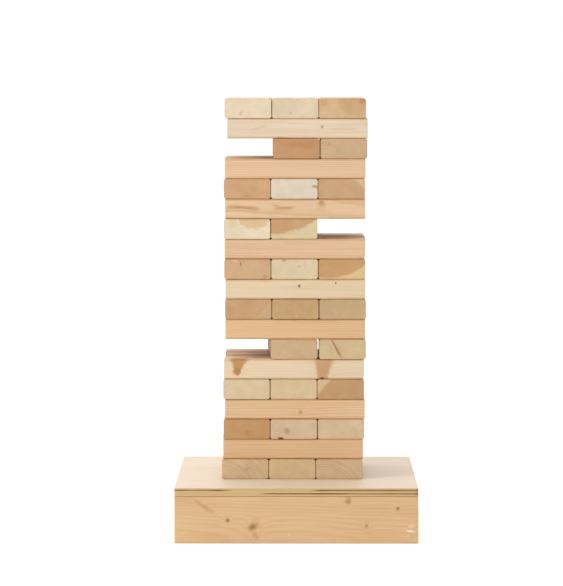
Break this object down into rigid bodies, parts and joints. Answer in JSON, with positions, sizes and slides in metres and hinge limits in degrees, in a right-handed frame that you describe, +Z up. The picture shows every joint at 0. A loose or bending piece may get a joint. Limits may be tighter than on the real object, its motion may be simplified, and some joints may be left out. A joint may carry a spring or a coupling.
{
  "type": "giant tumbling tower",
  "caption": "Crossed layers of planed timber blocks, some pulled out and laid on top, on a low plinth of boards with a plywood top.",
  "frame": {"origin": "on the ground under the middle of the plinth", "axes": "+Z up, +X to the right, the front of the tower faces -Y"},
  "size_m": [0.457, 0.564, 0.832],
  "materials": {
    "cream_pine": "planed, pale sapwood",
    "peach_pine": "planed, pinkish straight grain",
    "tan_pine": "planed, sawn ends",
    "honey_pine": "planed, orange heartwood",
    "plinth_pine": "planed, knotty",
    "plywood": "sanded face, bare edges",
    "nail_steel": "galvanised nail heads"
  },
  "bodies": {
    "plinth": {"plinth_front": "plinth_pine", "plinth_back": "plinth_pine", "plinth_left": "plinth_pine", "plinth_right": "plinth_pine", "plinth_centre_rail": "plinth_pine", "plinth_top": "plywood"},
    "block_01_left": {"block_01_left": "tan_pine"},
    "block_01_middle": {"block_01_middle": "tan_pine"},
    "block_01_right": {"block_01_right": "tan_pine"},
    "block_02_front": {"block_02_front": "peach_pine"},
    "block_02_middle": {"block_02_middle": "cream_pine"},
    "block_02_back": {"block_02_back": "tan_pine"},
    "block_03_left": {"block_03_left": "honey_pine"},
    "block_03_middle": {"block_03_middle": "tan_pine"},
    "block_03_right": {"block_03_right": "tan_pine"},
    "block_04_front": {"block_04_front": "peach_pine"},
    "block_04_middle": {"block_04_middle": "tan_pine"},
    "block_04_back": {"block_04_back": "peach_pine"},
    "block_05_left": {"block_05_left": "cream_pine"},
    "block_05_middle": {"block_05_middle": "cream_pine"},
    "block_05_right": {"block_05_right": "honey_pine"},
    "block_06_front": {"block_06_front": "cream_pine"},
    "block_06_middle": {"block_06_middle": "peach_pine"},
    "block_06_back": {"block_06_back": "honey_pine"},
    "block_07_middle": {"block_07_middle": "tan_pine"},
    "block_07_right": {"block_07_right": "tan_pine"},
    "block_08_front": {"block_08_front": "peach_pine"},
    "block_08_middle": {"block_08_middle": "cream_pine"},
    "block_08_back": {"block_08_back": "cream_pine"},
    "block_09_left": {"block_09_left": "honey_pine"},
    "block_09_middle": {"block_09_middle": "honey_pine"},
    "block_09_right": {"block_09_right": "tan_pine"},
    "block_10_front": {"block_10_front": "cream_pine"},
    "block_10_middle": {"block_10_middle": "peach_pine"},
    "block_10_back": {"block_10_back": "tan_pine"},
    "block_11_left": {"block_11_left": "tan_pine"},
    "block_11_middle": {"block_11_middle": "cream_pine"},
    "block_11_right": {"block_11_right": "honey_pine"},
    "block_12_front": {"block_12_front": "peach_pine"},
    "block_12_middle": {"block_12_middle": "honey_pine"},
    "block_12_back": {"block_12_back": "cream_pine"},
    "block_13_left": {"block_13_left": "cream_pine"},
    "block_13_middle": {"block_13_middle": "tan_pine"},
    "block_14_front": {"block_14_front": "peach_pine"},
    "block_14_middle": {"block_14_middle": "cream_pine"},
    "block_14_back": {"block_14_back": "peach_pine"},
    "block_15_left": {"block_15_left": "honey_pine"},
    "block_15_middle": {"block_15_middle": "cream_pine"},
    "block_15_right": {"block_15_right": "honey_pine"},
    "block_16_front": {"block_16_front": "peach_pine"},
    "block_16_middle": {"block_16_middle": "tan_pine"},
    "block_16_back": {"block_16_back": "cream_pine"},
    "block_17_middle": {"block_17_middle": "honey_pine"},
    "block_17_right": {"block_17_right": "tan_pine"},
    "block_18_front": {"block_18_front": "cream_pine"},
    "block_18_middle": {"block_18_middle": "peach_pine"},
    "block_18_back": {"block_18_back": "tan_pine"},
    "block_19_left": {"block_19_left": "cream_pine"},
    "block_19_middle": {"block_19_middle": "cream_pine"},
    "block_19_right": {"block_19_right": "tan_pine"}
  },
  "joints": [
    {"name": "pull_01_left", "type": "slide", "parent": "plinth", "child": "block_01_left", "axis": [0, 1, 0], "range_m": [-0.28, 0.28]},
    {"name": "pull_01_middle", "type": "slide", "parent": "plinth", "child": "block_01_middle", "axis": [0, 1, 0], "range_m": [-0.28, 0.28]},
    {"name": "pull_01_right", "type": "slide", "parent": "plinth", "child": "block_01_right", "axis": [0, 1, 0], "range_m": [-0.28, 0.28]},
    {"name": "pull_02_front", "type": "slide", "parent": "plinth", "child": "block_02_front", "axis": [1, 0, 0], "range_m": [-0.28, 0.28]},
    {"name": "pull_02_middle", "type": "slide", "parent": "plinth", "child": "block_02_middle", "axis": [1, 0, 0], "range_m": [-0.28, 0.28]},
    {"name": "pull_02_back", "type": "slide", "parent": "plinth", "child": "block_02_back", "axis": [1, 0, 0], "range_m": [-0.28, 0.28]},
    {"name": "pull_03_left", "type": "slide", "parent": "plinth", "child": "block_03_left", "axis": [0, 1, 0], "range_m": [-0.28, 0.28]},
    {"name": "pull_03_middle", "type": "slide", "parent": "plinth", "child": "block_03_middle", "axis": [0, 1, 0], "range_m": [-0.28, 0.28]},
    {"name": "pull_03_right", "type": "slide", "parent": "plinth", "child": "block_03_right", "axis": [0, 1, 0], "range_m": [-0.28, 0.28]},
    {"name": "pull_04_front", "type": "slide", "parent": "plinth", "child": "block_04_front", "axis": [1, 0, 0], "range_m": [-0.28, 0.28]},
    {"name": "pull_04_middle", "type": "slide", "parent": "plinth", "child": "block_04_middle", "axis": [1, 0, 0], "range_m": [-0.28, 0.28]},
    {"name": "pull_04_back", "type": "slide", "parent": "plinth", "child": "block_04_back", "axis": [1, 0, 0], "range_m": [-0.28, 0.28]},
    {"name": "pull_05_left", "type": "slide", "parent": "plinth", "child": "block_05_left", "axis": [0, 1, 0], "range_m": [-0.28, 0.28]},
    {"name": "pull_05_middle", "type": "slide", "parent": "plinth", "child": "block_05_middle", "axis": [0, 1, 0], "range_m": [-0.28, 0.28]},
    {"name": "pull_05_right", "type": "slide", "parent": "plinth", "child": "block_05_right", "axis": [0, 1, 0], "range_m": [-0.28, 0.28]},
    {"name": "pull_06_front", "type": "slide", "parent": "plinth", "child": "block_06_front", "axis": [1, 0, 0], "range_m": [-0.28, 0.28]},
    {"name": "pull_06_middle", "type": "slide", "parent": "plinth", "child": "block_06_middle", "axis": [1, 0, 0], "range_m": [-0.28, 0.28]},
    {"name": "pull_06_back", "type": "slide", "parent": "plinth", "child": "block_06_back", "axis": [1, 0, 0], "range_m": [-0.28, 0.28]},
    {"name": "pull_07_middle", "type": "slide", "parent": "plinth", "child": "block_07_middle", "axis": [0, 1, 0], "range_m": [-0.28, 0.28]},
    {"name": "pull_07_right", "type": "slide", "parent": "plinth", "child": "block_07_right", "axis": [0, 1, 0], "range_m": [-0.28, 0.28]},
    {"name": "pull_08_front", "type": "slide", "parent": "plinth", "child": "block_08_front", "axis": [1, 0, 0], "range_m": [-0.28, 0.28]},
    {"name": "pull_08_middle", "type": "slide", "parent": "plinth", "child": "block_08_middle", "axis": [1, 0, 0], "range_m": [-0.28, 0.28]},
    {"name": "pull_08_back", "type": "slide", "parent": "plinth", "child": "block_08_back", "axis": [1, 0, 0], "range_m": [-0.28, 0.28]},
    {"name": "pull_09_left", "type": "slide", "parent": "plinth", "child": "block_09_left", "axis": [0, 1, 0], "range_m": [-0.28, 0.28]},
    {"name": "pull_09_middle", "type": "slide", "parent": "plinth", "child": "block_09_middle", "axis": [0, 1, 0], "range_m": [-0.28, 0.28]},
    {"name": "pull_09_right", "type": "slide", "parent": "plinth", "child": "block_09_right", "axis": [0, 1, 0], "range_m": [-0.28, 0.28]},
    {"name": "pull_10_front", "type": "slide", "parent": "plinth", "child": "block_10_front", "axis": [1, 0, 0], "range_m": [-0.28, 0.28]},
    {"name": "pull_10_middle", "type": "slide", "parent": "plinth", "child": "block_10_middle", "axis": [1, 0, 0], "range_m": [-0.28, 0.28]},
    {"name": "pull_10_back", "type": "slide", "parent": "plinth", "child": "block_10_back", "axis": [1, 0, 0], "range_m": [-0.28, 0.28]},
    {"name": "pull_11_left", "type": "slide", "parent": "plinth", "child": "block_11_left", "axis": [0, 1, 0], "range_m": [-0.28, 0.28]},
    {"name": "pull_11_middle", "type": "slide", "parent": "plinth", "child": "block_11_middle", "axis": [0, 1, 0], "range_m": [-0.28, 0.28]},
    {"name": "pull_11_right", "type": "slide", "parent": "plinth", "child": "block_11_right", "axis": [0, 1, 0], "range_m": [-0.28, 0.28]},
    {"name": "pull_12_front", "type": "slide", "parent": "plinth", "child": "block_12_front", "axis": [1, 0, 0], "range_m": [-0.28, 0.28]},
    {"name": "pull_12_middle", "type": "slide", "parent": "plinth", "child": "block_12_middle", "axis": [1, 0, 0], "range_m": [-0.28, 0.28]},
    {"name": "pull_12_back", "type": "slide", "parent": "plinth", "child": "block_12_back", "axis": [1, 0, 0], "range_m": [-0.28, 0.28]},
    {"name": "pull_13_left", "type": "slide", "parent": "plinth", "child": "block_13_left", "axis": [0, 1, 0], "range_m": [-0.28, 0.28]},
    {"name": "pull_13_middle", "type": "slide", "parent": "plinth", "child": "block_13_middle", "axis": [0, 1, 0], "range_m": [-0.28, 0.28]},
    {"name": "pull_14_front", "type": "slide", "parent": "plinth", "child": "block_14_front", "axis": [1, 0, 0], "range_m": [-0.28, 0.28]},
    {"name": "pull_14_middle", "type": "slide", "parent": "plinth", "child": "block_14_middle", "axis": [1, 0, 0], "range_m": [-0.28, 0.28]},
    {"name": "pull_14_back", "type": "slide", "parent": "plinth", "child": "block_14_back", "axis": [1, 0, 0], "range_m": [-0.28, 0.28]},
    {"name": "pull_15_left", "type": "slide", "parent": "plinth", "child": "block_15_left", "axis": [0, 1, 0], "range_m": [-0.28, 0.28]},
    {"name": "pull_15_middle", "type": "slide", "parent": "plinth", "child": "block_15_middle", "axis": [0, 1, 0], "range_m": [-0.28, 0.28]},
    {"name": "pull_15_right", "type": "slide", "parent": "plinth", "child": "block_15_right", "axis": [0, 1, 0], "range_m": [-0.28, 0.28]},
    {"name": "pull_16_front", "type": "slide", "parent": "plinth", "child": "block_16_front", "axis": [1, 0, 0], "range_m": [-0.28, 0.28]},
    {"name": "pull_16_middle", "type": "slide", "parent": "plinth", "child": "block_16_middle", "axis": [1, 0, 0], "range_m": [-0.28, 0.28]},
    {"name": "pull_16_back", "type": "slide", "parent": "plinth", "child": "block_16_back", "axis": [1, 0, 0], "range_m": [-0.28, 0.28]},
    {"name": "pull_17_middle", "type": "slide", "parent": "plinth", "child": "block_17_middle", "axis": [0, 1, 0], "range_m": [-0.28, 0.28]},
    {"name": "pull_17_right", "type": "slide", "parent": "plinth", "child": "block_17_right", "axis": [0, 1, 0], "range_m": [-0.28, 0.28]},
    {"name": "pull_18_front", "type": "slide", "parent": "plinth", "child": "block_18_front", "axis": [1, 0, 0], "range_m": [-0.28, 0.28]},
    {"name": "pull_18_middle", "type": "slide", "parent": "plinth", "child": "block_18_middle", "axis": [1, 0, 0], "range_m": [-0.28, 0.28]},
    {"name": "pull_18_back", "type": "slide", "parent": "plinth", "child": "block_18_back", "axis": [1, 0, 0], "range_m": [-0.28, 0.28]},
    {"name": "pull_19_left", "type": "slide", "parent": "plinth", "child": "block_19_left", "axis": [0, 1, 0], "range_m": [-0.28, 0.28]},
    {"name": "pull_19_middle", "type": "slide", "parent": "plinth", "child": "block_19_middle", "axis": [0, 1, 0], "range_m": [-0.28, 0.28]},
    {"name": "pull_19_right", "type": "slide", "parent": "plinth", "child": "block_19_right", "axis": [0, 1, 0], "range_m": [-0.28, 0.28]}
  ]
}
